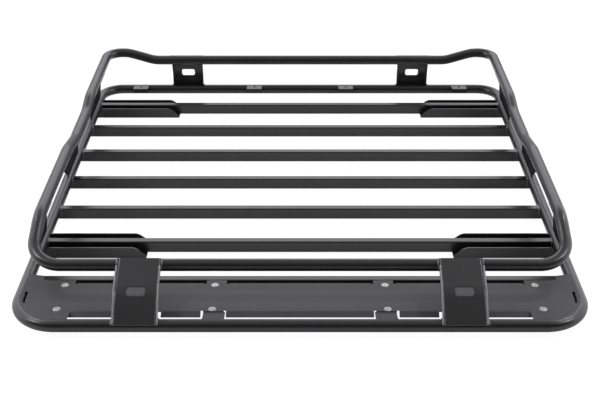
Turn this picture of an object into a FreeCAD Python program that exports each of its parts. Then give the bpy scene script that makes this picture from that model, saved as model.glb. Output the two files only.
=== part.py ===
import FreeCAD, Part
import math
import os
import Sketcher

# Expedition roof rack: a welded open frame of round steel tube. A flat base hoop carries seven
# crossbars, four channel feet and a sheet panel at the front; a second hoop above it stands on
# four channel posts and six side gussets and dips at its front, its rear and its middle.
# Millimetres. X runs across the rack, +Y towards its rear end and +Z up. The origin lies on the
# level surface under the feet, at the middle of the whole rack.

DOC = FreeCAD.newDocument("expedition_roof_rack")
SHEET = DOC.addObject("Spreadsheet::Sheet", "Sizes")
SUBPARTS = []


class Length:
    """A number of the sheet, or one worked out from several: its value and its formula."""

    def __init__(self, value, formula):
        self.value = value
        self.formula = formula

    def __add__(self, other):
        other = as_length(other)
        return Length(self.value + other.value, f"({self.formula} + {other.formula})")

    def __sub__(self, other):
        other = as_length(other)
        return Length(self.value - other.value, f"({self.formula} - {other.formula})")

    def __mul__(self, other):
        other = as_length(other)
        return Length(self.value * other.value, f"{self.formula} * {other.formula}")

    def __truediv__(self, other):
        other = as_length(other)
        return Length(self.value / other.value, f"({self.formula}) / ({other.formula})")

    def __neg__(self):
        return Length(-self.value, f"(0 - {self.formula})")

    def __radd__(self, other):
        return as_length(other) + self

    def __rsub__(self, other):
        return as_length(other) - self

    def __rmul__(self, other):
        return as_length(other) * self


def as_length(number):
    if isinstance(number, Length):
        return number
    return Length(float(number), f"({float(number)})")


def span(run, rise):
    """The straight distance over a run and a rise."""
    value = math.hypot(run.value, rise.value)
    return Length(value, f"sqrt(({run.formula})^2 + ({rise.formula})^2)")


def leg(length, rise):
    """The run under a straight distance that has a given rise."""
    value = math.sqrt(length.value ** 2 - rise.value ** 2)
    return Length(value, f"sqrt(({length.formula})^2 - ({rise.formula})^2)")


class PostBend:
    """The line of a post: flat from the rail, bent once, and flat again until it lies on the base tube."""

    def __init__(self, run, rise, crown, flat):
        length = span(run, rise)
        self.crown = crown
        self.flat = flat
        self.reach = leg(length, crown)
        ahead = self.reach - flat
        above = crown + post_face
        apart = span(ahead, above)
        lower = leg(apart, post_face)
        cosine = (ahead * lower + above * post_face) / (apart * apart)
        sine = (above * lower - ahead * post_face) / (apart * apart)
        self.end_along = flat + (lower + post_foot_lap) * cosine
        self.end_above = post_face - (lower + post_foot_lap) * sine
        self.cosine = (self.reach * run + crown * rise) / (length * length)
        self.sine = (self.reach * rise - crown * run) / (length * length)
        bend_along = flat - post_curve * (1 - cosine) / sine
        bend_out = bend_along * self.cosine - (post_curve - post_face) * self.sine
        self.overhang = bend_out + post_curve + post_sheet - run


def cell(alias, value):
    """Write one driving dimension into the sheet."""
    row = len(SHEET.getUsedCells()) // 2 + 1
    SHEET.set(f"A{row}", alias.replace("_", " "))
    SHEET.set(f"B{row}", str(value))
    SHEET.setAlias(f"B{row}", alias)
    SHEET.recompute()
    return Length(float(SHEET.get(alias)), f"Sizes.{alias}")


# Round tube of both hoops.
tube_diameter = cell("tube_diameter", 28)
tube_wall = cell("tube_wall", 2)
weld_gap = cell("weld_gap", 0.1)

# Base hoop, between tube axes.
base_width = cell("base_width", 1241)
base_length = cell("base_length", 1263)
base_height = cell("base_height", 26)
base_front_radius = cell("base_front_radius", 95)
base_rear_radius = cell("base_rear_radius", 62)

# Crossbars of rectangular tube. Setbacks are measured from the axis of the front base tube, and
# insets from the axis of the rear one or of a side one.
bar_width = cell("bar_width", 20)
bar_height = cell("bar_height", 30)
bar_wall = cell("bar_wall", 2)
bar_corner = cell("bar_corner", 3)
front_bar_setback = cell("front_bar_setback", 173.5)
first_bar_setback = cell("first_bar_setback", 338.5)
last_bar_inset = cell("last_bar_inset", 129.5)
CROSSBARS = 6
FOOT_BARS = (("front", 0), ("rear", CROSSBARS - 1))

# Channel feet, folded from sheet round the bar that they carry.
foot_sheet = cell("foot_sheet", 3)
foot_width = cell("foot_width", 68)
foot_height = cell("foot_height", 31)
foot_bend = cell("foot_bend", 5)
foot_reach = cell("foot_reach", 252)
foot_slope = cell("foot_slope", 26)
foot_lip = cell("foot_lip", 10)
foot_lip_round = cell("foot_lip_round", 8)
foot_slope_round = cell("foot_slope_round", 25)
foot_hole = cell("foot_hole", 9)
foot_hole_inset = cell("foot_hole_inset", 110)

# Upper hoop, between tube axes. Its side rails dip a little at their middle.
rail_inset = cell("rail_inset", 25)
rail_height = cell("rail_height", 152)
rail_bend_radius = cell("rail_bend_radius", 120)
front_rail_setback = cell("front_rail_setback", 127)
front_rail_height = cell("front_rail_height", 98)
front_drop_setback = cell("front_drop_setback", 250.5)
front_corner_radius = cell("front_corner_radius", 66)
rear_rail_inset = cell("rear_rail_inset", 9.5)
rear_rail_height = cell("rear_rail_height", 128)
rear_corner_radius = cell("rear_corner_radius", 45)
rear_dip_inset = cell("rear_dip_inset", 88.5)
rear_flat_inset = cell("rear_flat_inset", 168.5)
rear_bend_radius = cell("rear_bend_radius", 90)
side_dip = cell("side_dip", 17)
side_dip_setback = cell("side_dip_setback", 581.5)
side_flat_setback = cell("side_flat_setback", 681.5)
side_flat_length = cell("side_flat_length", 168)
side_rise_length = cell("side_rise_length", 69)

# Channel posts between the hoops, each with a slot. From the rail a post runs flat, aimed to pass
# over the base tube by its crown; at its slot it is bent down onto that tube.
post_inset = cell("post_inset", 267.5)
post_width = cell("post_width", 95)
post_sheet = cell("post_sheet", 3)
post_bend = cell("post_bend", 6)
post_flange = cell("post_flange", 16)
post_lap = cell("post_lap", 6)
post_foot_lap = cell("post_foot_lap", 3)
post_curve = cell("post_curve", 70)
front_post_crown = cell("front_post_crown", 24)
front_post_flat = cell("front_post_flat", 80)
rear_post_crown = cell("rear_post_crown", 14)
rear_post_flat = cell("rear_post_flat", 56)
slot_width = cell("slot_width", 40)
slot_height = cell("slot_height", 22)
slot_corner = cell("slot_corner", 6)
front_slot_drop = cell("front_slot_drop", 82)
rear_slot_drop = cell("rear_slot_drop", 56)

# Side gussets, flat plates swept forwards. Front and middle ones have setbacks, like the bars.
gusset_sheet = cell("gusset_sheet", 3)
front_gusset_foot = cell("front_gusset_foot", 246.5)
front_gusset_foot_length = cell("front_gusset_foot_length", 127)
front_gusset_top = cell("front_gusset_top", 206.5)
front_gusset_top_length = cell("front_gusset_top_length", 119)
middle_gusset_foot = cell("middle_gusset_foot", 652.5)
middle_gusset_foot_length = cell("middle_gusset_foot_length", 141)
middle_gusset_top = cell("middle_gusset_top", 486.5)
middle_gusset_top_length = cell("middle_gusset_top_length", 238)
rear_gusset_foot_inset = cell("rear_gusset_foot_inset", 93.5)
rear_gusset_foot_length = cell("rear_gusset_foot_length", 160)
rear_gusset_top_inset = cell("rear_gusset_top_inset", 157.5)
rear_gusset_top_length = cell("rear_gusset_top_length", 239)

# Front panel of folded sheet, and the straps and ears that carry it.
panel_sheet = cell("panel_sheet", 2)
panel_drop = cell("panel_drop", 0.5)
panel_setback = cell("panel_setback", 43.5)
panel_flange = cell("panel_flange", 14)
panel_lip_run = cell("panel_lip_run", 12)
panel_lip_drop = cell("panel_lip_drop", 7)
panel_bend = cell("panel_bend", 3)
panel_rear_gap = cell("panel_rear_gap", 9)
panel_corner = cell("panel_corner", 26)
outer_flange_gap = cell("outer_flange_gap", 104.5)
post_clearance = cell("post_clearance", 4)
relief_width = cell("relief_width", 5)
relief_depth = cell("relief_depth", 5)
side_notch_setback = cell("side_notch_setback", 80.5)
side_notch_length = cell("side_notch_length", 45)
side_notch_depth = cell("side_notch_depth", 5)
strap_sheet = cell("strap_sheet", 3)
strap_start = cell("strap_start", 167)
strap_width = cell("strap_width", 42)
strap_clearance = cell("strap_clearance", 6.5)
ear_width = cell("ear_width", 98.5)

# Lugs on the rear base tube, each with a hole.
lug_sheet = cell("lug_sheet", 3)
lug_width = cell("lug_width", 46)
lug_reach = cell("lug_reach", 34.5)
lug_lip = cell("lug_lip", 12)
lug_bend = cell("lug_bend", 4)
lug_hole = cell("lug_hole", 8.5)
lug_hole_inset = cell("lug_hole_inset", 18.5)
inner_lug_spacing = cell("inner_lug_spacing", 288)
outer_lug_inset = cell("outer_lug_inset", 119.5)

# Places worked out from the sizes above.
tube_radius = tube_diameter / 2
seat_radius = tube_radius + weld_gap
base_side = base_width / 2
post_face = seat_radius + weld_gap
front_post_rise = front_rail_height - base_height
rear_post_rise = rear_rail_height - base_height
front_bend = PostBend(front_rail_setback, front_post_rise, front_post_crown, front_post_flat)
rear_bend = PostBend(rear_rail_inset, rear_post_rise, rear_post_crown, rear_post_flat)
base_middle = (tube_radius - rear_bend.overhang) / 2
base_front = base_middle - base_length / 2
base_rear = base_middle + base_length / 2
rail_side = base_side - rail_inset
post_side = base_side - post_inset
bar_pitch = (base_length - first_bar_setback - last_bar_inset) / (CROSSBARS - 1)
bar_top = foot_sheet + bar_height
front_bar_face = base_front + front_bar_setback - bar_width / 2
inner_face = base_side - tube_radius
panel_top = bar_top - panel_drop
panel_front = base_front + panel_setback
middle_flange_end = strap_start - strap_clearance
outer_flange_start = strap_start + strap_width + strap_clearance
outer_flange_end = inner_face - outer_flange_gap


def bar_place(index):
    """Where the axis of a crossbar lies along the rack, the first one nearest the front."""
    return base_front + first_bar_setback + index * bar_pitch


def vector(x, y):
    return FreeCAD.Vector(as_length(x).value, as_length(y).value, 0)


def new_body(label):
    body = DOC.addObject("PartDesign::Body", label)
    body.Label = label
    return body


def keep(piece):
    SUBPARTS.append(piece)
    return piece


def bind(target, path, length):
    target.setExpression(path, as_length(length).formula)


def new_sketch(body, role, offset=0):
    """A sketch on one of the body's own planes, moved along that plane's normal."""
    plane = next(feature for feature in body.Origin.OriginFeatures if feature.Role == role)
    sketch = body.newObject("Sketcher::SketchObject", f"{body.Name}_{role[:2].lower()}_sketch")
    sketch.AttachmentSupport = (plane, [""])
    sketch.MapMode = "FlatFace"
    bind(sketch, "AttachmentOffset.Base.z", offset)
    return sketch


def dimension(sketch, kind, length, *ends):
    length = as_length(length)
    index = sketch.addConstraint(Sketcher.Constraint(kind, *ends, length.value))
    bind(sketch, f"Constraints[{index}]", length)


def pin(sketch, geometry, vertex, x, y):
    """Hold one point of the sketch at its distances from the origin."""
    dimension(sketch, "DistanceX", x, -1, 1, geometry, vertex)
    dimension(sketch, "DistanceY", y, -1, 1, geometry, vertex)


def circle(sketch, x, y, radius):
    shape = Part.Circle(vector(x, y), FreeCAD.Vector(0, 0, 1), as_length(radius).value)
    geometry = sketch.addGeometry(shape)
    pin(sketch, geometry, 3, x, y)
    dimension(sketch, "Radius", radius, geometry)


def ring(sketch, x, y):
    """The section of the round tube."""
    circle(sketch, x, y, tube_radius)
    circle(sketch, x, y, tube_radius - tube_wall)


def round_corner(sketch, corner, incoming, outgoing):
    """Join two runs by a tangent arc; both runs aim at the corner."""
    x, y, radius = corner
    point = vector(x, y)
    end = sketch.getPoint(incoming, 2)
    start = sketch.getPoint(outgoing, 1)
    before = (end - point).normalize()
    after = (start - point).normalize()
    half = before.getAngle(after) / 2
    centre = point + (before + after).normalize() * (radius.value / math.sin(half))
    left = after.cross(before).z > 0
    first, last = (end, start) if left else (start, end)
    angles = [math.atan2(place.y - centre.y, place.x - centre.x) for place in (first, last)]
    bow = Part.Circle(centre, FreeCAD.Vector(0, 0, 1), radius.value)
    arc = sketch.addGeometry(Part.ArcOfCircle(bow, *angles))
    mark = sketch.addGeometry(Part.Point(point), True)
    pin(sketch, mark, 1, x, y)
    sketch.addConstraint(Sketcher.Constraint("PointOnObject", mark, 1, incoming))
    sketch.addConstraint(Sketcher.Constraint("PointOnObject", mark, 1, outgoing))
    sketch.addConstraint(Sketcher.Constraint("Tangent", incoming, 2, arc, 1 if left else 2))
    sketch.addConstraint(Sketcher.Constraint("Tangent", arc, 2 if left else 1, outgoing, 1))
    dimension(sketch, "Radius", radius, arc)


def outline(sketch, corners, closed=True):
    """Straight runs from corner to corner; a corner given with a radius is rounded."""
    corners = [(x, y, as_length(rest[0]) if rest else None) for x, y, *rest in corners]
    points = [vector(x, y) for x, y, _ in corners]
    count = len(corners)
    starts = list(points)
    ends = list(points)
    for index, (_, _, radius) in enumerate(corners):
        if radius is None:
            continue
        before = (points[index - 1] - points[index]).normalize()
        after = (points[(index + 1) % count] - points[index]).normalize()
        reach = radius.value / math.tan(before.getAngle(after) / 2)
        ends[index] = points[index] + before * reach
        starts[index] = points[index] + after * reach
    runs = count if closed else count - 1
    lines = []
    for index in range(runs):
        lines.append(sketch.addGeometry(Part.LineSegment(starts[index], ends[(index + 1) % count])))
    for index, (x, y, radius) in enumerate(corners):
        if not closed and index == 0:
            pin(sketch, lines[0], 1, x, y)
        elif not closed and index == runs:
            pin(sketch, lines[-1], 2, x, y)
        elif radius is None:
            pin(sketch, lines[index], 1, x, y)
            sketch.addConstraint(Sketcher.Constraint("Coincident", lines[index - 1], 2, lines[index], 1))
        else:
            round_corner(sketch, (x, y, radius), lines[index - 1], lines[index])


def rectangle(sketch, left, right, low, high, radius=None):
    rest = () if radius is None else (radius,)
    outline(sketch, [(left, low, *rest), (right, low, *rest), (right, high, *rest), (left, high, *rest)])


def pad(body, sketch, length, side="One side", reverse=False):
    feature = body.newObject("PartDesign::Pad", f"{body.Name}_pad")
    feature.Profile = sketch
    feature.SideType = side
    feature.Reversed = reverse
    bind(feature, "Length", length)
    return feature


def cut_through(body, sketch):
    """Cut the sketch through the whole body, to both sides of its plane."""
    feature = body.newObject("PartDesign::Pocket", f"{body.Name}_cut")
    feature.Profile = sketch
    feature.Type = "ThroughAll"
    feature.SideType = "Symmetric"
    return feature


def place(piece, x, y, z, rotation=FreeCAD.Rotation()):
    piece.Placement = FreeCAD.Placement(FreeCAD.Vector(), rotation)
    for axis, length in (("x", x), ("y", y), ("z", z)):
        bind(piece, f"Placement.Base.{axis}", length)


def turn(axis, degrees):
    directions = {"x": FreeCAD.Vector(1, 0, 0), "z": FreeCAD.Vector(0, 0, 1)}
    return FreeCAD.Rotation(directions[axis], degrees)


def slope(run, rise):
    return math.degrees(math.atan2(rise.value, run.value))


def straight_tube(label, role, length, x, y, z):
    """A run of round tube centred on a place, square to one of the base planes."""
    body = keep(new_body(label))
    sketch = new_sketch(body, role)
    ring(sketch, 0, 0)
    pad(body, sketch, length, "Symmetric")
    place(body, x, y, z)


def corner_tube(label, radius, x, y, z, rotation):
    """A quarter bend of round tube about its own centre, from +X to +Y before it is turned."""
    body = keep(new_body(label))
    sketch = new_sketch(body, "XZ_Plane")
    ring(sketch, radius, 0)
    bend = body.newObject("PartDesign::Revolution", f"{label}_bend")
    bend.Profile = sketch
    bend.ReferenceAxis = (sketch, ["V_Axis"])
    bend.Angle = 90
    place(body, x, y, z, rotation)


def base_hoop():
    along = base_length - base_front_radius - base_rear_radius
    middle = base_middle + (base_front_radius - base_rear_radius) / 2
    straight_tube("base_left_tube", "XZ_Plane", along, -base_side, middle, base_height)
    straight_tube("base_right_tube", "XZ_Plane", along, base_side, middle, base_height)
    for end, y, inwards, radius, degrees in (("rear", base_rear, -1, base_rear_radius, (90, 0)),
                                             ("front", base_front, 1, base_front_radius, (180, 270))):
        half = base_side - radius
        straight_tube(f"base_{end}_tube", "YZ_Plane", 2 * half, 0, y, base_height)
        corner_tube(f"base_corner_{end}_left", radius,
                    -half, y + inwards * radius, base_height, turn("z", degrees[0]))
        corner_tube(f"base_corner_{end}_right", radius,
                    half, y + inwards * radius, base_height, turn("z", degrees[1]))


# The middle line of a side rail, from its rear corner forwards, as places along Y and Z.
rail_rear = base_rear - rear_rail_inset
front_rail = base_front + front_rail_setback
drop_run = front_drop_setback - front_rail_setback
drop_rise = rail_height - front_rail_height
drop_length = span(drop_run, drop_rise)
drop_corner_y = front_rail + front_corner_radius * (drop_run / drop_length)
drop_corner_z = front_rail_height + front_corner_radius * (drop_rise / drop_length)
dip_height = rail_height - side_dip
dip_front = base_front + side_dip_setback
flat_front = base_front + side_flat_setback
flat_rear = flat_front + side_flat_length
dip_rear = flat_rear + side_rise_length
SIDE_RAIL_LINE = (
    (rail_rear - rear_corner_radius, rail_height),
    (dip_rear, rail_height, rail_bend_radius),
    (flat_rear, dip_height, rail_bend_radius),
    (flat_front, dip_height, rail_bend_radius),
    (dip_front, rail_height, rail_bend_radius),
    (base_front + front_drop_setback, rail_height, rail_bend_radius),
    (drop_corner_y, drop_corner_z),
)


def side_rail(label, hollow=True):
    """A side rail of the upper hoop, bent in one upright plane."""
    body = new_body(label)
    line = new_sketch(body, "YZ_Plane")
    outline(line, SIDE_RAIL_LINE, closed=False)
    start, height = SIDE_RAIL_LINE[0]
    section = new_sketch(body, "XZ_Plane", -start)
    if hollow:
        ring(section, 0, height)
    else:
        circle(section, 0, height, seat_radius)
    sweep(body, section, line)
    return body


def sweep(body, section, line):
    pipe = body.newObject("PartDesign::AdditivePipe", f"{body.Name}_sweep")
    pipe.Profile = section
    pipe.Spine = (line, [])


def rear_rail():
    """The rear rail, lower between its posts than at its corners."""
    body = keep(new_body("upper_rear_rail"))
    end = rail_side - rear_corner_radius
    line = new_sketch(body, "XZ_Plane")
    outline(line, [
        (-end, rail_height),
        (rear_dip_inset - base_side, rail_height, rear_bend_radius),
        (rear_flat_inset - base_side, rear_rail_height, rear_bend_radius),
        (base_side - rear_flat_inset, rear_rail_height, rear_bend_radius),
        (base_side - rear_dip_inset, rail_height, rear_bend_radius),
        (end, rail_height),
    ], closed=False)
    section = new_sketch(body, "YZ_Plane", -end)
    ring(section, 0, rail_height)
    sweep(body, section, line)
    place(body, 0, rail_rear, 0)


def upper_hoop():
    for side, x in (("left", -rail_side), ("right", rail_side)):
        rail = keep(side_rail(f"upper_{side}_rail"))
        place(rail, x, 0, 0)
    rear_rail()
    straight_tube("upper_front_rail", "YZ_Plane", 2 * (rail_side - front_corner_radius),
                  0, front_rail, front_rail_height)
    tilt = turn("x", slope(drop_run, drop_rise))
    rear_y = rail_rear - rear_corner_radius
    for side, sign, front_degrees, rear_degrees in (("left", -1, 180, 90), ("right", 1, 270, 0)):
        front_x = sign * (rail_side - front_corner_radius)
        rear_x = sign * (rail_side - rear_corner_radius)
        corner_tube(f"upper_corner_front_{side}", front_corner_radius,
                    front_x, drop_corner_y, drop_corner_z, tilt * turn("z", front_degrees))
        corner_tube(f"upper_corner_rear_{side}", rear_corner_radius,
                    rear_x, rear_y, rail_height, turn("z", rear_degrees))


def crossbar(label, y):
    """A rectangular tube across the rack, its ends shaped to the side tubes."""
    body = keep(new_body(label))
    section = new_sketch(body, "YZ_Plane")
    rectangle(section, -(bar_width / 2), bar_width / 2, foot_sheet, bar_top, bar_corner)
    rectangle(section, bar_wall - bar_width / 2, bar_width / 2 - bar_wall,
              foot_sheet + bar_wall, bar_top - bar_wall, bar_corner - bar_wall)
    pad(body, section, base_width, "Symmetric")
    ends = new_sketch(body, "XZ_Plane")
    for x in (-base_side, base_side):
        circle(ends, x, base_height, seat_radius)
    cut_through(body, ends)
    place(body, 0, y, 0)


def foot(label, y, degrees):
    """A channel foot round a crossbar, from the side tube inwards, its inner end cut on a slope."""
    body = keep(new_body(label))
    inner = base_side - foot_reach
    half = foot_width / 2
    hollow_bend = foot_bend - foot_sheet
    section = new_sketch(body, "YZ_Plane", inner)
    outline(section, [
        (-half, foot_height), (-half, 0, foot_bend), (half, 0, foot_bend), (half, foot_height),
        (half - foot_sheet, foot_height), (half - foot_sheet, foot_sheet, hollow_bend),
        (foot_sheet - half, foot_sheet, hollow_bend), (foot_sheet - half, foot_height),
    ])
    pad(body, section, foot_reach)
    sides = new_sketch(body, "XZ_Plane")
    circle(sides, base_side, base_height, seat_radius)
    slope_end = inner + foot_slope + foot_slope_round
    outline(sides, [
        (inner - foot_sheet, foot_height + foot_sheet), (inner - foot_sheet, foot_lip / 2),
        (inner, foot_lip / 2), (inner, foot_lip, foot_lip_round),
        (inner + foot_slope, foot_height, foot_slope_round),
        (slope_end, foot_height), (slope_end, foot_height + foot_sheet),
    ])
    cut_through(body, sides)
    holes = new_sketch(body, "XY_Plane")
    beside_bar = (half - foot_sheet + bar_width / 2) / 2
    for across in (-beside_bar, beside_bar):
        circle(holes, inner + foot_hole_inset, across, foot_hole / 2)
    cut_through(body, holes)
    place(body, 0, y, 0, turn("z", degrees))


def post(label, x, end, bend, slot_drop):
    """A channel post lapped onto the outer sides of both hoops, cut round their tubes."""
    body = keep(new_body(label))
    half = post_width / 2
    line = new_sketch(body, "YZ_Plane")
    outline(line, [(-post_lap, post_face), (bend.flat, post_face, post_curve),
                   (bend.end_along, bend.end_above)], closed=False)
    section = new_sketch(body, "XZ_Plane", post_lap)
    outline(section, [
        (-half, post_face + post_sheet - post_flange), (-half, post_face + post_sheet, post_bend),
        (half, post_face + post_sheet, post_bend), (half, post_face + post_sheet - post_flange),
        (half - post_sheet, post_face + post_sheet - post_flange),
        (half - post_sheet, post_face, post_bend - post_sheet),
        (post_sheet - half, post_face, post_bend - post_sheet),
        (post_sheet - half, post_face + post_sheet - post_flange),
    ])
    sweep(body, section, line)
    tubes = new_sketch(body, "YZ_Plane")
    circle(tubes, 0, 0, seat_radius)
    circle(tubes, bend.reach, -bend.crown, seat_radius)
    cut_through(body, tubes)
    slot = new_sketch(body, "XY_Plane")
    rectangle(slot, -(slot_width / 2), slot_width / 2, slot_drop - slot_height / 2,
              slot_drop + slot_height / 2, slot_corner)
    cut_through(body, slot)
    lean = turn("x", slope(bend.cosine, bend.sine)) * turn("z", 180)
    if end == "front":
        place(body, x, front_rail, front_rail_height, lean)
    else:
        place(body, x, rail_rear, rear_rail_height, turn("z", 180) * lean)


def posts():
    for side, x in (("left", -post_side), ("right", post_side)):
        post(f"post_front_{side}", x, "front", front_bend, front_slot_drop)
        post(f"post_rear_{side}", x, "rear", rear_bend, rear_slot_drop)


def rail_line_height(y):
    """The height of a side rail's middle line at a place along the rack."""
    for rear, front in zip(SIDE_RAIL_LINE, SIDE_RAIL_LINE[1:]):
        if front[0].value <= y.value <= rear[0].value:
            share = (y - front[0]) / (rear[0] - front[0])
            return front[1] + share * (rear[1] - front[1])
    raise ValueError("a gusset reaches past the side rail")


def gusset(label, x_sign, low, foot_length, top_front, top_length, envelope):
    """A flat plate between the base tube and the side rail, its upper edge shaped to the rail."""
    lean = base_side - rail_side
    lift = rail_height - base_height
    stretch = span(lean, lift) / lift
    plate = new_body(f"{label}_plate")
    top_rear = top_front + top_length
    on_rail = [place for place in SIDE_RAIL_LINE if top_front.value < place[0].value < top_rear.value]
    upper = [(top_rear, rail_line_height(top_rear))]
    upper += [(bend[0], bend[1]) for bend in on_rail]
    upper += [(top_front, rail_line_height(top_front))]
    sketch = new_sketch(plate, "XY_Plane")
    corners = [(low, seat_radius), (low + foot_length, seat_radius)]
    corners += [(y, (z - base_height) * stretch) for y, z in upper]
    outline(sketch, corners)
    pad(plate, sketch, gusset_sheet, "Symmetric")
    upright = FreeCAD.Vector(-x_sign * lean.value, 0, lift.value)
    forward = FreeCAD.Vector(0, 1, 0)
    place(plate, x_sign * base_side, 0, base_height,
          FreeCAD.Rotation(forward, upright, forward.cross(upright), "XYZ"))
    shaped = keep(DOC.addObject("Part::Cut", label))
    shaped.Label = label
    shaped.Base = plate
    shaped.Tool = envelope


def gussets():
    rows = (
        ("front", base_front + front_gusset_foot, front_gusset_foot_length,
         base_front + front_gusset_top, front_gusset_top_length),
        ("middle", base_front + middle_gusset_foot, middle_gusset_foot_length,
         base_front + middle_gusset_top, middle_gusset_top_length),
        ("rear", base_rear - rear_gusset_foot_inset - rear_gusset_foot_length, rear_gusset_foot_length,
         base_rear - rear_gusset_top_inset - rear_gusset_top_length, rear_gusset_top_length),
    )
    for side, sign in (("left", -1), ("right", 1)):
        envelope = side_rail(f"{side}_rail_envelope", hollow=False)
        place(envelope, sign * rail_side, 0, 0)
        for where, *sizes in rows:
            gusset(f"gusset_{where}_{side}", sign, *sizes, envelope)


def folded_edge(edge, inwards, flange_edge):
    """Half of a folded edge of the panel, from the middle outwards, with reliefs beside the flanges."""
    deep = flange_edge + inwards * relief_depth
    return [
        (middle_flange_end, flange_edge), (middle_flange_end, deep),
        (middle_flange_end + relief_width, deep), (middle_flange_end + relief_width, edge),
        (outer_flange_start - relief_width, edge), (outer_flange_start - relief_width, deep),
        (outer_flange_start, deep), (outer_flange_start, flange_edge),
        (outer_flange_end, flange_edge), (outer_flange_end, deep),
        (outer_flange_end + relief_width, deep), (outer_flange_end + relief_width, edge),
    ]


def mirrored(points):
    return [(-x, y) for x, y in reversed(points)]


def front_panel():
    """The folded sheet between the front base tube and the front bar."""
    body = keep(new_body("front_panel"))
    rear_fold = front_bar_face - panel_rear_gap
    notch_front = base_front + side_notch_setback
    notch_rear = notch_front + side_notch_length
    side_fold = inner_face - side_notch_depth
    right = folded_edge(panel_front, 1, panel_front)
    right += [
        (inner_face - panel_corner, panel_front), (inner_face - panel_sheet, notch_front),
        (side_fold, notch_front),
        (side_fold, notch_rear), (inner_face, notch_rear), (inner_face, front_bar_face),
    ]
    right += list(reversed(folded_edge(front_bar_face, -1, rear_fold)))
    sheet = new_sketch(body, "XY_Plane", panel_top)
    outline(sheet, right + mirrored(right))
    pad(body, sheet, panel_sheet, reverse=True)
    folds = new_sketch(body, "XY_Plane", panel_top)
    rectangle(folds, -middle_flange_end, middle_flange_end, rear_fold - panel_sheet, rear_fold)
    rectangle(folds, outer_flange_start, outer_flange_end, rear_fold - panel_sheet, rear_fold)
    rectangle(folds, -outer_flange_end, -outer_flange_start, rear_fold - panel_sheet, rear_fold)
    rectangle(folds, side_fold - panel_sheet, side_fold, notch_front, notch_rear)
    rectangle(folds, -side_fold, panel_sheet - side_fold, notch_front, notch_rear)
    pad(body, folds, panel_flange, reverse=True)
    beside_post = post_width / 2 + post_clearance
    panel_lip(body, -middle_flange_end, middle_flange_end)
    for start, end in ((outer_flange_start, post_side - beside_post),
                       (post_side + beside_post, outer_flange_end)):
        panel_lip(body, start, end)
        panel_lip(body, -end, -start)
    DOC.recompute()
    round_fold(body, rear_fold)


def panel_lip(body, start, end):
    """A length of the sloping lip along the front of the panel."""
    lip = span(panel_lip_run, panel_lip_drop)
    tip = panel_front - panel_lip_run
    low = panel_top - panel_lip_drop
    section = new_sketch(body, "YZ_Plane", start)
    outline(section, [
        (panel_front + panel_sheet, panel_top), (panel_front, panel_top), (tip, low),
        (tip + panel_sheet * panel_lip_drop / lip, low - panel_sheet * panel_lip_run / lip),
        (panel_front + panel_sheet * (lip - panel_lip_run) / panel_lip_drop, panel_top - panel_sheet),
        (panel_front + panel_sheet, panel_top - panel_sheet),
    ])
    pad(body, section, end - start)


def round_fold(body, fold):
    """Round the outside of the fold along the rear of the panel."""
    folded = body.Tip
    names = []
    for index, edge in enumerate(folded.Shape.Edges, 1):
        middle = edge.CenterOfMass
        on_top = abs(middle.z - panel_top.value) < 0.01
        on_fold = abs(middle.y - fold.value) < 0.01
        if on_top and on_fold and folded_under(folded.Shape, middle):
            names.append(f"Edge{index}")
    rounding = body.newObject("PartDesign::Fillet", f"{body.Name}_folds")
    rounding.Base = (folded, names)
    bind(rounding, "Radius", panel_bend)


def folded_under(shape, middle):
    """Whether the sheet goes down below this place on its upper edge."""
    probe = FreeCAD.Vector(middle.x, middle.y, panel_top.value - panel_flange.value)
    return shape.distToShape(Part.Vertex(probe))[0] < 0.01


def panel_carriers():
    """Two straps and two corner ears under the panel, from the front tube to the front bar."""
    reach = base_front + seat_radius
    low = panel_top - panel_sheet - strap_sheet
    edge = base_side - seat_radius
    bow = base_front_radius - seat_radius
    rear = front_bar_face
    for side, sign in (("left", -1), ("right", 1)):
        strap = keep(new_body(f"panel_strap_{side}"))
        sketch = new_sketch(strap, "XY_Plane", low)
        inner = sign * strap_start
        outer = sign * (strap_start + strap_width)
        rectangle(sketch, inner, outer, reach, rear)
        pad(strap, sketch, strap_sheet)
        ear = keep(new_body(f"panel_ear_{side}"))
        sketch = new_sketch(ear, "XY_Plane", low)
        ear_start = inner_face - ear_width
        outline(sketch, [(sign * ear_start, reach), (sign * edge, reach, bow),
                         (sign * edge, rear), (sign * ear_start, rear)])
        pad(ear, sketch, strap_sheet)


def lug(label, x):
    """A folded tab on the front of the rear base tube, with a hole through its top."""
    body = keep(new_body(label))
    top = base_height + tube_radius
    front = base_rear - lug_reach
    section = new_sketch(body, "YZ_Plane")
    outline(section, [
        (front, top - lug_lip), (front, top, lug_bend), (base_rear, top), (base_rear, top - lug_sheet),
        (front + lug_sheet, top - lug_sheet, lug_bend - lug_sheet), (front + lug_sheet, top - lug_lip),
    ])
    pad(body, section, lug_width, "Symmetric")
    seat = new_sketch(body, "YZ_Plane")
    circle(seat, base_rear, base_height, seat_radius)
    cut_through(body, seat)
    hole = new_sketch(body, "XY_Plane")
    circle(hole, 0, front + lug_hole_inset, lug_hole / 2)
    cut_through(body, hole)
    place(body, x, 0, 0)


def check_and_write():
    DOC.recompute()
    for item in DOC.Objects:
        if "Invalid" in item.State or "Error" in item.State:
            raise RuntimeError(f"{item.Label} failed: {item.State}")
    os.makedirs("parts", exist_ok=True)
    for piece in SUBPARTS:
        if piece.Shape.isNull() or not piece.Shape.isValid() or len(piece.Shape.Solids) != 1:
            raise RuntimeError(f"{piece.Label} is not one sound solid")
        piece.Shape.exportStep(f"parts/{piece.Label}.step")


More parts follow.
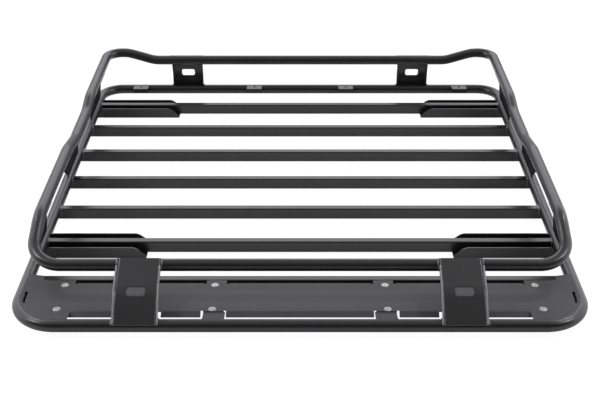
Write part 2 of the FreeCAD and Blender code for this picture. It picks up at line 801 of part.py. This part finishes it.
base_hoop()
upper_hoop()
crossbar("front_bar", base_front + front_bar_setback)
for index in range(CROSSBARS):
    crossbar(f"crossbar_{index + 1}", bar_place(index))
for end, index in FOOT_BARS:
    foot(f"foot_{end}_right", bar_place(index), 0)
    foot(f"foot_{end}_left", bar_place(index), 180)
posts()
gussets()
front_panel()
panel_carriers()
for side, sign in (("left", -1), ("right", 1)):
    lug(f"rear_lug_inner_{side}", sign * inner_lug_spacing / 2)
    lug(f"rear_lug_outer_{side}", sign * (base_side - outer_lug_inset))
check_and_write()
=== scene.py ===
import math

import bpy
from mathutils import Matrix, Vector


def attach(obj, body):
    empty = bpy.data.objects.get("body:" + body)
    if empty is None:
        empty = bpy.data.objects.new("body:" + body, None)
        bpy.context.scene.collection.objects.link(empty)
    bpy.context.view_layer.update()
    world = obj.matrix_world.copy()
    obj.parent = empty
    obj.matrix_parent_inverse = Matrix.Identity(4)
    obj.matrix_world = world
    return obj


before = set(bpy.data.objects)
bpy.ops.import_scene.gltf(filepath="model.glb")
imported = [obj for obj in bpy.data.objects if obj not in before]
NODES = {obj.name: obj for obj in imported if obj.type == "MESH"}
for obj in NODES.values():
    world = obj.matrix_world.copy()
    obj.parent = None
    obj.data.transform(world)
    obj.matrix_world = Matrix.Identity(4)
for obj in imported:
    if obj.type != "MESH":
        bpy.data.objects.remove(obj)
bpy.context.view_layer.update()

SCENE = bpy.context.scene
SIDES = (("left", -1), ("right", 1))

# Places on the rack in millimetres, as the CAD nodes have them.
TUBE = 14.0
BASE_SIDE, BASE_FRONT, BASE_REAR, BASE_HEIGHT = 620.5, -634.316, 628.684, 26.0
BASE_BEND = 95
RAIL_SIDE, RAIL_HEIGHT = 595.5, 152.0
FRONT_RAIL, REAR_RAIL = (BASE_FRONT + 127, 98), (BASE_REAR - 9.5, 128)
BARS = (BASE_FRONT + 173.5,) + tuple(BASE_FRONT + 338.5 + 159 * index for index in range(6))
POST_SIDE, POST_HALF = 353.0, 47.5
PANEL_TOP = 32.5
GUSSET_MIDDLE = 80
LUGS, LUG_HALF = (("inner", 144), ("outer", 501)), 22
BOLT_SIDES, BOLT_ROWS = (191.2, 529.2), (-582.5, -490)
STRAP_SIDE, STRAP_WIDTH = 162.5, 47.5

# The outer face of a front post from the rail down to the base tube, as (y, z).
POST_FACE = ((-527.0, 109.1), (-576.8, 90.8), (-585.5, 87.0),
             (-593.6, 82.1), (-598.6, 78.3), (-644.5, 39.8))
# The fold of a front post: how far it stands out at its wide end and at its slim end, how far the
# middle of its bead lies in from there, and how far that lies above the face.
FOLD_WIDE, FOLD_SLIM, FOLD_SINK, FOLD_LIFT = 3.2, 0.6, 2.0, 1.6

# Sections of the sheets on the front tube, as (distance behind its axis, height).
SHEET = 0.9
STRAP_SECTION = ((4, 39.42), (8, 38.2), (13, 36.2), (18, 34.2),
                 (23, 32.6), (29, 31.4), (36, 30.8), (44, 30.6))
CORNER_SECTION = ((3.5, 39.56), (7, 38.62), (10, 37.9), (16.5, 36.4), (21, 35.45),
                  (27, 34.4), (33, 33.6), (39, 33.0), (44, 32.7), (49, 32.55))
# A corner sheet starts on the front tube, follows the bend round and runs on along the side tube
# in two lengths. Its slot lies between two distances from the turn and ends with the first length.
CORNER_START, CORNER_LEAD, CORNER_STEPS, CORNER_RUNS = -498.5, 27, 24, (16.5, 70)
SLOT_INNER, SLOT_OUTER, SLOT_FRONT = 79.5, 84.5, -27.5

# Beads of weld: the radius of a drop, and the pitch from drop to drop.
WELD_PROUD = 0.6
BAR_BEAD = (2.0, 1.9)
GUSSET_BEAD = (2.3, 2.4)
FILLET_BEAD, FILLET_ROWS = (3.6, 4.2), ((3.5, 0.5), (8.5, 3.5))
LUG_BEAD = (1.3, 1.4)
FOLD_BEAD = (2.3, 1.2)
# Each end's rail and base tube, the angles at which the post's face touches them, and its bead.
POST_ENDS = (("front", FRONT_RAIL, (BASE_FRONT, BASE_HEIGHT), 69.9, 50.1, (2.2, 1.5)),
             ("rear", REAR_RAIL, (BASE_REAR, BASE_HEIGHT), 13.2, -3.2, (2.4, 1.5)))
# Degrees round a tube from where a post's face touches it: the arcs beside the post, and its end.
RAIL_ARC, RAIL_END = (26, -75), 25
BASE_ARC, BASE_END = (-6, 80), -6
# Round the end of a bar, from its lower front edge over its top to its lower rear edge.
BAR_END = ((610.5, -10.4, 16), (607.4, -10.4, 20), (605.8, -10.4, 29.5), (606.8, -8, 33.2),
           (606.8, 8, 33.2), (605.8, 10.4, 29.5), (607.4, 10.4, 20), (610.5, 10.4, 16))


class Shade:
    """One value of a finish; Python operators on it add Math nodes."""

    def __init__(self, finish, socket):
        self.finish = finish
        self.socket = socket

    def __add__(self, other):
        return self.finish.math("ADD", self, other)

    def __radd__(self, other):
        return self.finish.math("ADD", other, self)

    def __sub__(self, other):
        return self.finish.math("SUBTRACT", self, other)

    def __rsub__(self, other):
        return self.finish.math("SUBTRACT", other, self)

    def __mul__(self, other):
        return self.finish.math("MULTIPLY", self, other)

    def __rmul__(self, other):
        return self.finish.math("MULTIPLY", other, self)


class Finish:
    """A node graph: a material's, or the world's."""

    def __init__(self, tree):
        self.tree = tree
        tree.nodes.clear()

    def node(self, kind, settings=(), sockets=(), output=0):
        """Add a node: its settings first, then the values or links of its sockets."""
        node = self.tree.nodes.new(kind)
        for name, value in dict(settings).items():
            setattr(node, name, value)
        for name, value in dict(sockets).items():
            if isinstance(value, Shade):
                self.tree.links.new(value.socket, node.inputs[name])
            else:
                node.inputs[name].default_value = value
        return Shade(self, node.outputs[output]) if node.outputs else node

    def math(self, operation, first, second):
        return self.node("ShaderNodeMath", {"operation": operation}, {0: first, 1: second})

    def mix_colour(self, factor, first, second):
        return self.node("ShaderNodeMix", {"data_type": "RGBA"},
                         {0: factor, 6: first, 7: second}, 2)

    def noise(self, place, scale, detail=2.0, roughness=0.5):
        return self.node("ShaderNodeTexNoise", {}, {
            "Vector": place, "Scale": scale, "Detail": detail, "Roughness": roughness})

    def rays(self):
        """Whether a ray comes from the camera, off something glossy, or through something clear."""
        return [self.node("ShaderNodeLightPath", output=f"Is {kind} Ray")
                for kind in ("Camera", "Glossy", "Transmission")]


def new_material(name):
    material = bpy.data.materials.new(name)
    material.use_nodes = True
    return material, Finish(material.node_tree)


def powder_coat(name, tone, roughness, ripple, gloss=0.5):
    """Satin black powder coat: a fine orange-peel surface with slow changes of depth and sheen."""
    material, finish = new_material(name)
    place = finish.node("ShaderNodeTexCoord", output="Object")
    slow = finish.noise(place, 7.0, 3.0)
    peel = finish.noise(place, 620.0, 2.0, 0.55)
    grain = finish.noise(place, 1900.0, 1.0)
    deep = tuple(0.8 * part for part in tone) + (1,)
    pale = tuple(1.25 * part for part in tone) + (1,)
    colour = finish.mix_colour(slow, deep, pale)
    sheen = roughness + 0.06 * (slow - 0.5) + 0.08 * (peel - 0.5)
    bump = finish.node("ShaderNodeBump", {}, {
        "Height": peel + 0.3 * grain, "Strength": 0.35, "Distance": ripple})
    surface = finish.node("ShaderNodeBsdfPrincipled", {}, {
        "Base Color": colour, "Roughness": sheen, "Normal": bump, "IOR": 1.5,
        "Specular IOR Level": gloss})
    finish.node("ShaderNodeOutputMaterial", {}, {"Surface": surface})
    return material


def zinc_plate():
    """Bright zinc on the bolt heads, a little cloudy."""
    material, finish = new_material("zinc_plate")
    place = finish.node("ShaderNodeTexCoord", output="Object")
    cloud = finish.noise(place, 260.0, 3.0)
    colour = finish.mix_colour(cloud, (0.37, 0.37, 0.365, 1), (0.48, 0.48, 0.475, 1))
    surface = finish.node("ShaderNodeBsdfPrincipled", {}, {
        "Base Color": colour, "Metallic": 1.0, "Roughness": 0.44 + 0.16 * cloud})
    finish.node("ShaderNodeOutputMaterial", {}, {"Surface": surface})
    return material


COAT = powder_coat("black_powder_coat", (0.0095, 0.0095, 0.0102), 0.3, 0.00012)
PANEL_COAT = powder_coat("panel_powder_coat", (0.042, 0.042, 0.043), 0.55, 0.00016, 0.32)
# The gussets' coat is a darker, duller copy of the black coat: painted shade for the shade they lie
# in under the side rails.
SHADED_GUSSET_COAT = powder_coat("gusset_painted_shade_coat", (0.004, 0.004, 0.0043), 0.85, 0.00016, 0.1)
# The welds' coat is a lighter, glossier copy of the black coat: painted highlight along the beads.
WELD_HIGHLIGHT_COAT = powder_coat("weld_painted_highlight_coat", (0.06, 0.06, 0.061), 0.24, 0.00012, 0.9)
# The post folds' coat is a still lighter copy of the black coat: painted highlight on the rolled
# edges.
FOLD_HIGHLIGHT_COAT = powder_coat("fold_painted_highlight_coat", (0.12, 0.12, 0.123), 0.3, 0.00012, 0.8)
ZINC = zinc_plate()


def wear_coat():
    """Give every CAD node its coat; the gussets get the darker copy that paints in shade."""
    coats = {"front_panel": PANEL_COAT, "gusset": SHADED_GUSSET_COAT}
    for name, node in NODES.items():
        kind = name.split("_")[0]
        node.data.materials.clear()
        node.data.materials.append(coats.get(name) or coats.get(kind) or COAT)


def take_up(piece):
    """Select one piece alone."""
    bpy.ops.object.select_all(action="DESELECT")
    piece.select_set(True)
    bpy.context.view_layer.objects.active = piece


def settle():
    """Put the place of what is selected into its mesh."""
    bpy.ops.object.transform_apply(location=True, rotation=True, scale=True)


def keep(piece, name, material):
    """Finish a new piece: its name, its place in the mesh, its finish and what it rides on."""
    piece.name = name
    piece.data.name = name
    take_up(piece)
    settle()
    bpy.ops.object.shade_smooth_by_angle(angle=math.radians(35))
    piece.data.materials.clear()
    piece.data.materials.append(material)
    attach(piece, "root")


def apply(piece, kind, **settings):
    """Add a modifier to a piece and apply it."""
    modifier = piece.modifiers.new(kind.lower(), kind)
    for name, value in settings.items():
        setattr(modifier, name, value)
    bpy.context.view_layer.objects.active = piece
    bpy.ops.object.modifier_apply(modifier=modifier.name)


def copy_to(piece, offset):
    """A copy with its own mesh, moved by so much."""
    twin = piece.copy()
    twin.data = piece.data.copy()
    SCENE.collection.objects.link(twin)
    twin.location = Vector(offset) / 1000
    return twin


def extrude(step):
    """Draw what is selected out by a step in millimetres."""
    bpy.ops.mesh.extrude_region_move(
        TRANSFORM_OT_translate={"value": [length / 1000 for length in step]})


def pick_faces(piece, wanted):
    """Go into edit mode with only the wanted faces selected."""
    bpy.ops.object.mode_set(mode="EDIT")
    bpy.ops.mesh.select_mode(type="FACE")
    bpy.ops.mesh.select_all(action="DESELECT")
    bpy.ops.object.mode_set(mode="OBJECT")
    for face in piece.data.polygons:
        face.select = wanted(face)
    bpy.ops.object.mode_set(mode="EDIT")


def row_of_drops(start, end, radius, pitch):
    """Overlapping drops of weld metal in a straight line."""
    start, end = Vector(start) / 1000, Vector(end) / 1000
    count = max(2, round((end - start).length / pitch * 1000) + 1)
    bpy.ops.object.select_all(action="DESELECT")
    bpy.ops.mesh.primitive_uv_sphere_add(
        segments=10, ring_count=7, radius=radius / 1000, location=start)
    drop = bpy.context.object
    bpy.ops.object.mode_set(mode="EDIT")
    bpy.ops.mesh.select_all(action="SELECT")
    bpy.ops.transform.resize(value=(1.0, 1.0, 0.92))
    bpy.ops.object.mode_set(mode="OBJECT")
    apply(drop, "ARRAY", count=count, use_relative_offset=False, use_constant_offset=True,
          constant_offset_displace=(end - start) / (count - 1))
    return drop


def weld(lines, radius, pitch):
    """A bead along lines of points: rows of drops fused into one skin."""
    rows = []
    for points in lines:
        for start, end in zip(points, points[1:]):
            rows.append(row_of_drops(start, end, radius, pitch))
    bead = rows[0]
    take_up(bead)
    for row in rows:
        row.select_set(True)
    if len(rows) > 1:
        bpy.ops.object.join()
    settle()
    apply(bead, "REMESH", mode="VOXEL", voxel_size=0.3 * radius / 1000)
    apply(bead, "SMOOTH", factor=0.5, iterations=2)
    return bead


def keep_weld(bead, name, coat=WELD_HIGHLIGHT_COAT):
    keep(bead, name, coat)


def bar_welds():
    """Round the end of each bar, where it meets the side tube of the base hoop."""
    for side, sign in SIDES:
        first = weld([[(sign * x, y, z) for x, y, z in BAR_END]], *BAR_BEAD)
        twins = [copy_to(first, (0, y, 0)) for y in BARS[1:]]
        first.location = Vector((0, BARS[0], 0)) / 1000
        for index, bead in enumerate([first] + twins):
            keep_weld(bead, f"bar_weld_{index}_{side}")


def gusset_line(node, sign, facing, upper, out=WELD_PROUD, lift=0.0):
    """Places along the upper or the lower edge of one face of a gusset, from front to rear."""
    lean = Vector((-sign * (BASE_SIDE - RAIL_SIDE), 0, RAIL_HEIGHT - BASE_HEIGHT)).normalized()
    inwards = Vector((-sign * lean.z, 0, sign * lean.x))
    foot = Vector((sign * BASE_SIDE, 0, BASE_HEIGHT))
    off_middle, spacing = 0.5, 5
    places = []
    for vertex in node.data.vertices:
        place = 1000 * (node.matrix_world @ vertex.co)
        on_face = (place - foot).dot(inwards) * facing > off_middle
        if on_face and (place.z > GUSSET_MIDDLE) == upper:
            places.append(place)
    line = []
    for place in sorted(places, key=lambda spot: spot.y):
        if not line or (place - line[-1]).length > spacing:
            line.append(place)
    return [place + facing * out * inwards + Vector((0, 0, lift)) for place in line]


def gusset_welds():
    """Along both edges of each face of a gusset, with a fuller fillet inside under the rail."""
    for where in ("front", "middle", "rear"):
        for side, sign in SIDES:
            node = NODES[f"gusset_{where}_{side}"]
            lines = [gusset_line(node, sign, facing, upper)
                     for facing in (1, -1) for upper in (True, False)]
            keep_weld(weld(lines, *GUSSET_BEAD), f"gusset_weld_{where}_{side}")
            fillet = [gusset_line(node, sign, 1, True, out, lift) for out, lift in FILLET_ROWS]
            keep_weld(weld(fillet, *FILLET_BEAD), f"gusset_fillet_{where}_{side}")


def arc(end, centre, start, finish, x):
    """Places round a tube, by angles up from the horizontal that faces out of that end."""
    forward = -1 if end == "front" else 1
    reach = TUBE + WELD_PROUD
    steps = 9
    line = []
    for step in range(steps + 1):
        angle = math.radians(start + (finish - start) * step / steps)
        line.append((x, centre[0] + forward * reach * math.cos(angle),
                     centre[1] + reach * math.sin(angle)))
    return line


def post_welds():
    """Where each channel post is welded round the rail and round the base tube."""
    aside = POST_HALF + 1.6
    for end, rail, base, upper, lower, bead in POST_ENDS:
        for side, sign in SIDES:
            middle = sign * POST_SIDE
            lines = []
            for edge in (-1, 1):
                x = middle + edge * aside
                lines.append(arc(end, rail, upper + RAIL_ARC[0], upper + RAIL_ARC[1], x))
                lines.append(arc(end, base, lower + BASE_ARC[0], lower + BASE_ARC[1], x))
            for centre, angle in ((rail, upper + RAIL_END), (base, lower + BASE_END)):
                lines.append([arc(end, centre, angle, angle, middle + edge * POST_HALF)[0]
                              for edge in (-1, 1)])
            keep_weld(weld(lines, *bead), f"post_weld_{end}_{side}")


def lug_welds():
    """Along the front edge of each lug on the rear tube."""
    y, z = BASE_REAR - 3.5, 39.6
    for side, sign in SIDES:
        for which, x in LUGS:
            line = [(sign * x - LUG_HALF, y, z), (sign * x + LUG_HALF, y, z)]
            keep_weld(weld([line], *LUG_BEAD), f"lug_weld_{which}_{side}")


def post_edge(x, out, top_out, foot_out):
    """Places down the outer fold of a front post, a little proud of its two faces."""
    top, foot = POST_FACE[0][0], POST_FACE[-1][0]
    line = []
    for index, (y, z) in enumerate(POST_FACE):
        before = POST_FACE[max(index - 1, 0)]
        after = POST_FACE[min(index + 1, len(POST_FACE) - 1)]
        along = Vector((after[0] - before[0], after[1] - before[1])).normalized()
        proud = top_out + (foot_out - top_out) * ((top - y) / (top - foot))
        line.append((x + out * (proud - FOLD_SINK),
                     y - FOLD_LIFT * along.y, z + FOLD_LIFT * along.x))
    return line


def post_edges():
    """The rolled edges of the front posts, in a lighter coat that paints in their highlight."""
    for side, sign in SIDES:
        outer, inner = sign * (POST_SIDE + POST_HALF), sign * (POST_SIDE - POST_HALF)
        lines = [post_edge(outer, sign, FOLD_WIDE, FOLD_SLIM),
                 post_edge(inner, -sign, FOLD_SLIM, FOLD_WIDE)]
        keep_weld(weld(lines, *FOLD_BEAD), f"post_edge_{side}", FOLD_HIGHLIGHT_COAT)


def section_line(x, section):
    """A new piece that is one line of edges through a section, left in edit mode and selected."""
    start = Vector((x, BASE_FRONT + section[0][0], section[0][1])) / 1000
    bpy.ops.object.select_all(action="DESELECT")
    bpy.ops.mesh.primitive_plane_add(size=0.001, location=start)
    piece = bpy.context.object
    settle()
    bpy.ops.object.mode_set(mode="EDIT")
    bpy.ops.mesh.select_mode(type="VERT")
    bpy.ops.mesh.select_all(action="SELECT")
    bpy.ops.mesh.merge(type="CENTER")
    bpy.ops.mesh.select_all(action="SELECT")
    for (inset, height), (next_inset, next_height) in zip(section, section[1:]):
        extrude((0, next_inset - inset, next_height - height))
    bpy.ops.mesh.select_all(action="SELECT")
    return piece


def thicken(sheet):
    """Turn a sheet's faces upwards and give it its thickness below them."""
    take_up(sheet)
    settle()
    bpy.ops.object.mode_set(mode="EDIT")
    bpy.ops.mesh.select_all(action="SELECT")
    bpy.ops.mesh.remove_doubles(threshold=0.00001)
    bpy.ops.mesh.normals_make_consistent(inside=False)
    bpy.ops.object.mode_set(mode="OBJECT")
    if sum(face.normal.z for face in sheet.data.polygons) < 0:
        bpy.ops.object.mode_set(mode="EDIT")
        bpy.ops.mesh.flip_normals()
        bpy.ops.object.mode_set(mode="OBJECT")
    apply(sheet, "SOLIDIFY", thickness=SHEET / 1000, offset=-1)


def strap_ends():
    """The ends of the straps, drawn over onto the front tube."""
    for side, sign in SIDES:
        sheet = section_line(sign * STRAP_SIDE, STRAP_SECTION)
        extrude((sign * STRAP_WIDTH, 0, 0))
        bpy.ops.object.mode_set(mode="OBJECT")
        thicken(sheet)
        keep(sheet, f"strap_end_{side}", PANEL_COAT)


def corner_blend():
    """The sheet that carries the panel onto the bent front corner of the base hoop, left side."""
    turn = Vector((BASE_BEND - BASE_SIDE, BASE_FRONT + BASE_BEND, BASE_HEIGHT)) / 1000

    def in_slot(face):
        out = 1000 * (face.center - turn)
        reach = out.xy.length if out.y < 0 else -out.x
        return SLOT_INNER < reach < SLOT_OUTER and SLOT_FRONT < out.y < CORNER_RUNS[0]

    sheet = section_line(CORNER_START, CORNER_SECTION)
    extrude((-CORNER_LEAD, 0, 0))
    bpy.ops.mesh.spin(steps=CORNER_STEPS, angle=math.radians(90), center=turn, axis=(0, 0, 1))
    for length in CORNER_RUNS:
        extrude((0, length, 0))
    pick_faces(sheet, in_slot)
    bpy.ops.mesh.delete(type="FACE")
    bpy.ops.object.mode_set(mode="OBJECT")
    return sheet


def corner_blends():
    """Both corner sheets, the right one mirrored from the left."""
    left = corner_blend()
    right = copy_to(left, (0, 0, 0))
    right.scale.x = -1
    for side, sheet in (("left", left), ("right", right)):
        thicken(sheet)
        keep(sheet, f"panel_corner_{side}", PANEL_COAT)


def bolt_head():
    """A washer with a low rounded head on it, modelled once at the origin."""
    washer, washer_radius = 0.0008, 0.0084
    bpy.ops.object.select_all(action="DESELECT")
    bpy.ops.mesh.primitive_cylinder_add(
        vertices=32, radius=washer_radius, depth=washer, location=(0, 0, washer / 2))
    head = bpy.context.object
    pick_faces(head, lambda face: face.normal.z > 0.9)
    bpy.ops.mesh.inset(thickness=0.0008)
    extrude((0, 0, 0.5))
    for inwards, up in ((0.0012, 0.0003), (0.0018, 0.0002), (0.0022, 0.0001)):
        bpy.ops.mesh.inset(thickness=inwards)
        bpy.ops.transform.translate(value=(0, 0, up))
    bpy.ops.object.mode_set(mode="OBJECT")
    apply(head, "BEVEL", width=0.00025, segments=2,
          limit_method="ANGLE", angle_limit=math.radians(50))
    return head


def bolts():
    """Eight bolt heads, let into the panel by a tenth of a millimetre."""
    seat = PANEL_TOP - 0.1
    head = bolt_head()
    places = [(sign * x, y, seat) for _, sign in SIDES for x in BOLT_SIDES for y in BOLT_ROWS]
    twins = [copy_to(head, place) for place in places[1:]]
    head.location = Vector(places[0]) / 1000
    for index, piece in enumerate([head] + twins):
        keep(piece, f"panel_bolt_{index + 1}", ZINC)


def floor_material():
    """A pale floor that is nearly white where it is seen directly."""
    white_share, gloss_share = 0.86, 0.05
    material, finish = new_material("studio_floor")
    camera, glossy, clear = finish.rays()
    lit = finish.node("ShaderNodeBsdfDiffuse", {}, {"Color": (0.8, 0.8, 0.8, 1)})
    white = finish.node("ShaderNodeEmission", {}, {"Color": (1, 1, 1, 1), "Strength": 1.1})
    seen = white_share * camera + white_share * clear + gloss_share * glossy
    surface = finish.node("ShaderNodeMixShader", {}, {0: seen, 1: lit, 2: white})
    finish.node("ShaderNodeOutputMaterial", {}, {"Surface": surface})
    return material


def studio_floor():
    bpy.ops.object.select_all(action="DESELECT")
    bpy.ops.mesh.primitive_plane_add(size=12, location=(0, 3.4, 0))
    floor = bpy.context.object
    floor.name = "studio_floor"
    settle()
    floor.data.materials.append(floor_material())


def studio_world():
    """White behind the rack, and a soft grey room for its light."""
    world = bpy.data.worlds.new("studio")
    SCENE.world = world
    world.use_nodes = True
    finish = Finish(world.node_tree)
    camera, glossy, clear = finish.rays()
    strength = 0.3 + 0.7 * camera + 0.7 * clear - 0.2 * glossy
    background = finish.node("ShaderNodeBackground", {}, {
        "Color": (1, 1, 1, 1), "Strength": strength})
    finish.node("ShaderNodeOutputWorld", {}, {"Surface": background})


def softbox(name, size, watts, place, aim):
    """A lamp with a broad flat face, turned towards what it is aimed at."""
    lamp = bpy.data.lights.new(name, "AREA")
    lamp.shape = "RECTANGLE"
    lamp.size, lamp.size_y = size
    lamp.energy = watts
    lamp.color = (0.975, 0.97, 1.0)
    holder = bpy.data.objects.new(name, lamp)
    SCENE.collection.objects.link(holder)
    holder.location = place
    holder.rotation_euler = (Vector(aim) - Vector(place)).to_track_quat("-Z", "Y").to_euler()
    holder.visible_camera = False


def studio_lights():
    """Large softboxes all round, and small ones for the glints on the front bends."""
    softbox("top_softbox", (6.0, 4.8), 56, (0, 0.1, 3.4), (0, 0.1, 0))
    softbox("back_softbox", (7.0, 2.6), 148, (0, 4.5, 2.9), (0, 0, 0.1))
    softbox("low_back_softbox", (10.0, 1.6), 20, (0, 4.6, 0.8), (0, 0, 0.8))
    for side, sign in SIDES:
        softbox(f"side_softbox_{side}", (4.6, 2.4), 62, (3.1 * sign, 0.7, 1.25), (0, 0.2, 0.2))
        softbox(f"corner_strobe_{side}", (0.35, 0.35), 15,
                (2.06 * sign, -0.83, 1.77), (0.56 * sign, -0.6, 0.05))
        softbox(f"rail_strobe_{side}", (0.3, 0.3), 11,
                (1.66 * sign, 0.53, 2.1), (0.56 * sign, -0.5, 0.1))


def studio_camera():
    """In front of the rack and above it, looking down at it."""
    picture_width, focal_length, looks_down = 600, 1058, 29.44
    lens = bpy.data.cameras.new("camera")
    lens.sensor_width = 36
    lens.lens = lens.sensor_width * focal_length / picture_width
    lens.shift_y = -0.5 / picture_width
    lens.clip_end = 50
    camera = bpy.data.objects.new("camera", lens)
    SCENE.collection.objects.link(camera)
    camera.location = (0, -2.46982, 1.37)
    camera.rotation_euler = (math.radians(90 - looks_down), 0, 0)
    SCENE.camera = camera


wear_coat()
bolts()
bar_welds()
gusset_welds()
post_welds()
lug_welds()
post_edges()
corner_blends()
strap_ends()
studio_world()
studio_floor()
studio_lights()
studio_camera()
SCENE.view_settings.view_transform = "Standard"
